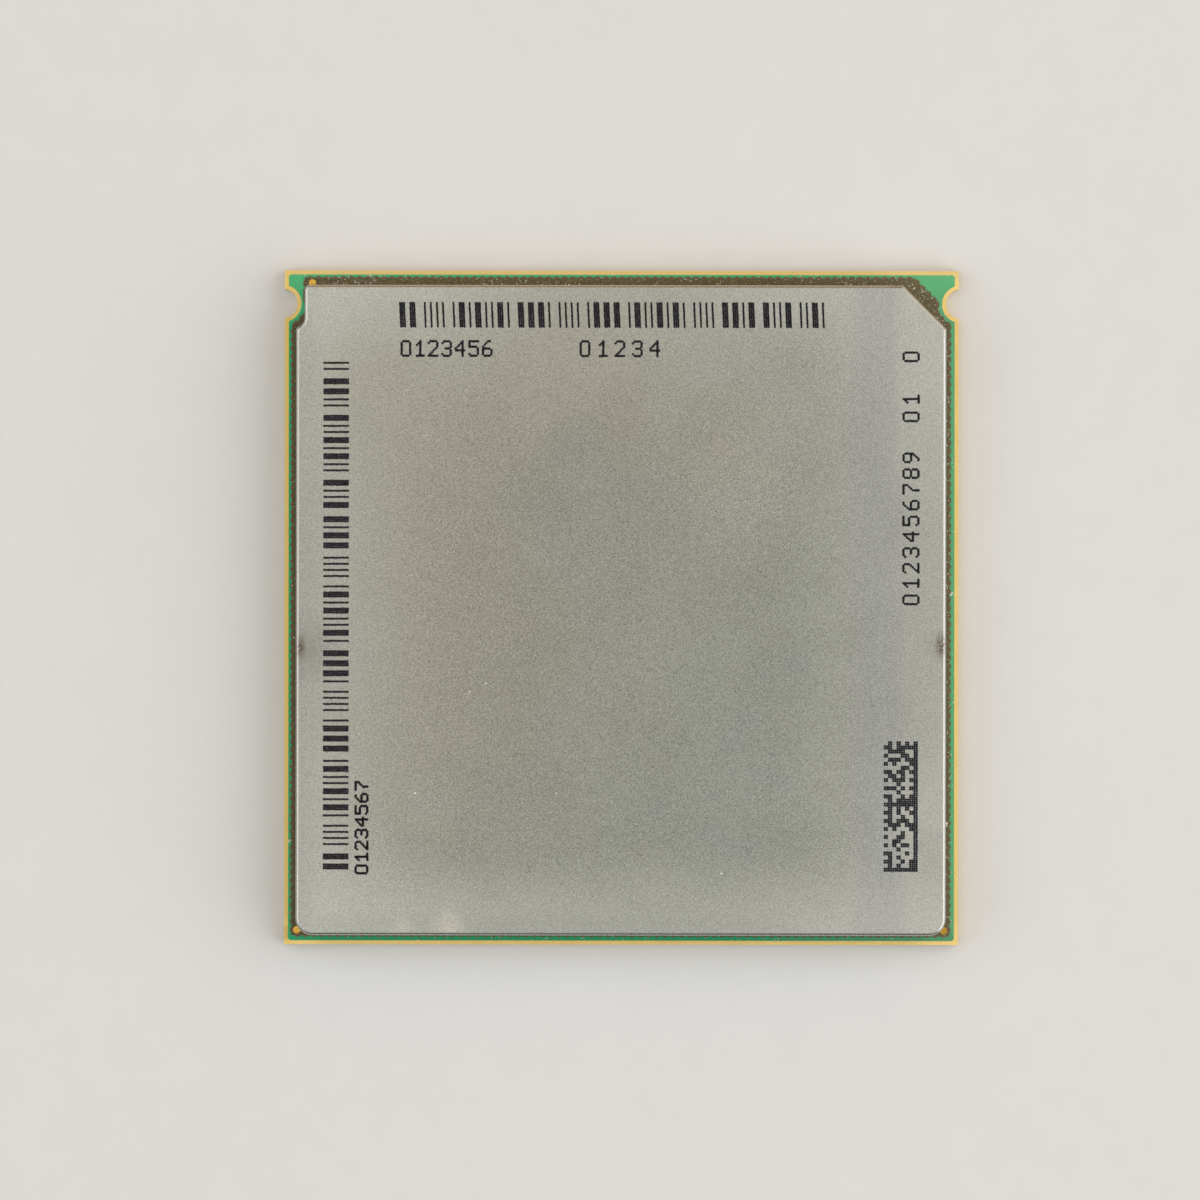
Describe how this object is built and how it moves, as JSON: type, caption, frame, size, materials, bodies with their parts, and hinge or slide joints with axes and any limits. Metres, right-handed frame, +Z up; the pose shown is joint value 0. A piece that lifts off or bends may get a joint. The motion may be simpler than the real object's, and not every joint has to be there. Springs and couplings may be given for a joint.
{
  "type": "computer processor",
  "caption": "Square land grid processor: laminate substrate with edge key notches, gold lands underneath and a nickel-plated copper heat spreader with a cut corner over the die.",
  "frame": {"origin": "middle of the square land side, on the plane that it rests on", "axes": "+Z up through the heat spreader, +Y towards the edge that the key notches are near, +X towards the cut corner's side"},
  "size_m": [0.05, 0.05, 0.0045],
  "materials": {
    "laminate": "matte",
    "copper": "satin",
    "solder_mask": "satin",
    "gold_plate": "satin",
    "silicon": "polished",
    "underfill_resin": "satin",
    "thermal_paste": "matte",
    "capacitor_ceramic": "satin",
    "tin_plate": "satin",
    "adhesive": "matte",
    "nickel_plate": "matte"
  },
  "bodies": {
    "root": {"substrate": "laminate", "ground_plane": "copper", "top_solder_mask": "solder_mask", "bottom_solder_mask": "solder_mask", "land_pads": "gold_plate", "fiducial_pads": "gold_plate", "die": "silicon", "underfill": "underfill_resin", "thermal_interface": "thermal_paste", "capacitor_bodies": "capacitor_ceramic", "capacitor_terminals": "tin_plate", "capacitor_pads": "copper", "capacitor_solder": "tin_plate", "lid_adhesive": "adhesive", "heat_spreader": "nickel_plate"}
  },
  "joints": []
}
